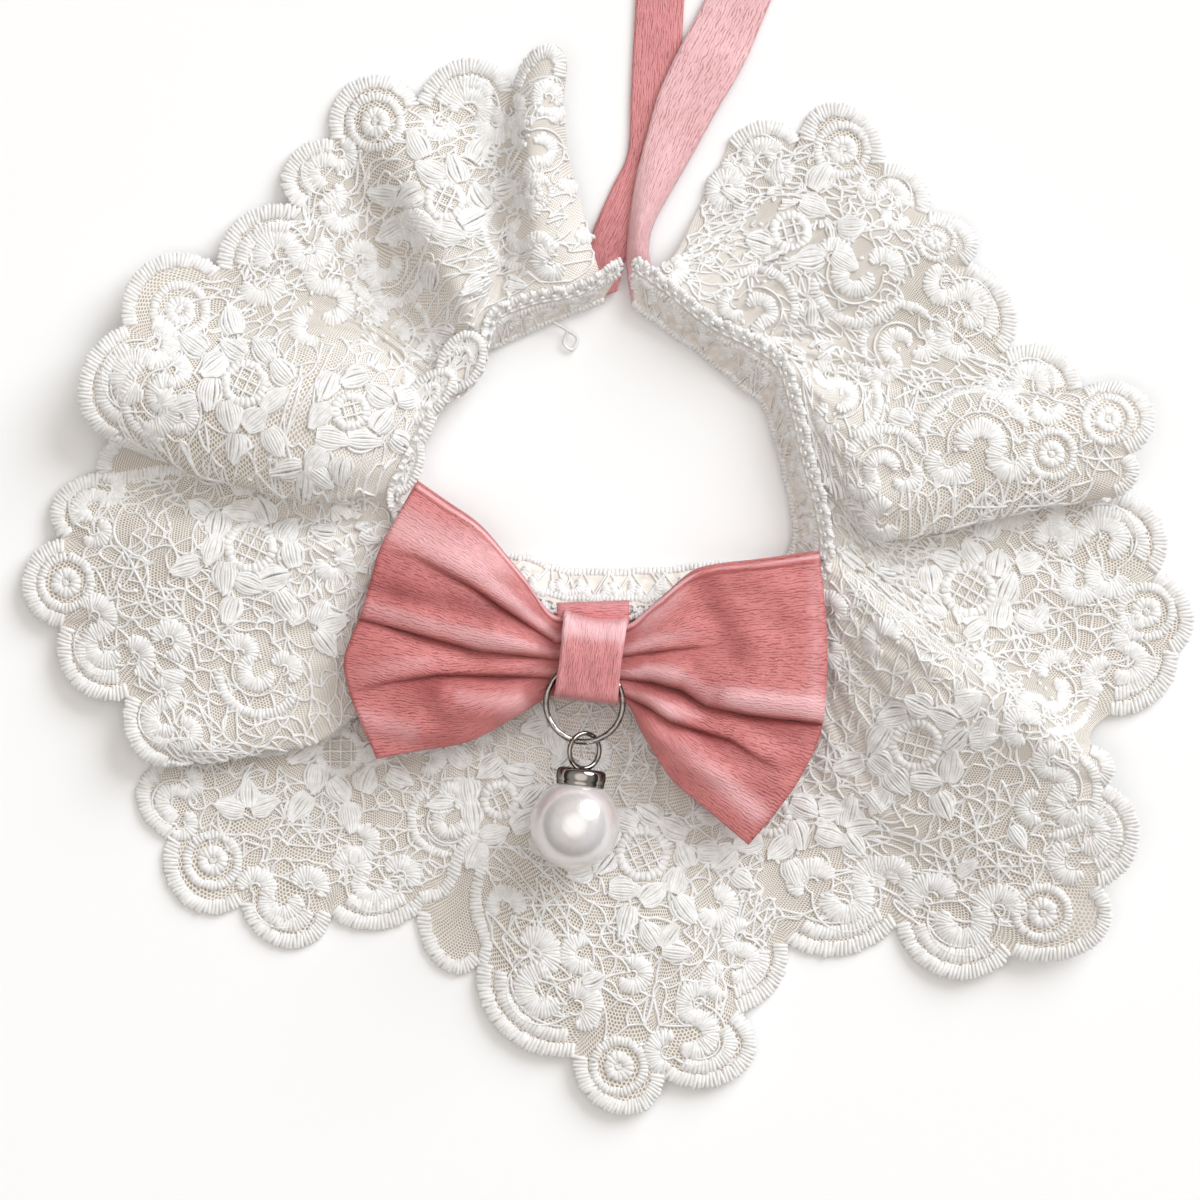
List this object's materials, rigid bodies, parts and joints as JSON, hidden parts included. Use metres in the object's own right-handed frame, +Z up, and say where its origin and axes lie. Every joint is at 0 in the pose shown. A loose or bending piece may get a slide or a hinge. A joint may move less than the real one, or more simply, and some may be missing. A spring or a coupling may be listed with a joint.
{
  "type": "lace collar with ribbon bow and pearl pendant",
  "caption": "Gathered lace ruffle collar for a small pet, with a leaning neck band, satin ribbon ties at the back, and a satin bow that holds a ring and a pearl pendant at the front.",
  "frame": {"origin": "middle of the bounding box's base, on the surface the collar lies on", "axes": "+Z up from the surface, +Y from the bow at the front to the ties at the back, +X to the wearer's left"},
  "size_m": [0.234, 0.3114, 0.0224],
  "materials": {
    "lace_thread": "white embroidered thread on fine net, matt",
    "lace_heading": "doubled lace heading, matt",
    "pink_satin": "dusty pink satin ribbon, soft sheen",
    "light_pink_satin": "satin ribbon lit from above, soft sheen",
    "polished_steel": "bright polished",
    "pearl_shell": "pearl lustre"
  },
  "bodies": {
    "collar": {"lace_ruffle": "lace_thread", "neck_band": "lace_heading", "tie_left": "pink_satin", "tie_right": "light_pink_satin", "bow_left": "pink_satin", "bow_right": "pink_satin", "bow_wrap": "pink_satin", "ring": "polished_steel"},
    "pendant": {"pendant_loop": "polished_steel", "pendant_cap": "polished_steel", "pearl": "pearl_shell"}
  },
  "joints": [
    {"name": "pendant_swing", "type": "hinge", "parent": "collar", "child": "pendant", "pos_m": [-0.00462, -0.08124, 0.0133], "axis": [-1, 0, 0], "range_deg": [0, 80]}
  ]
}
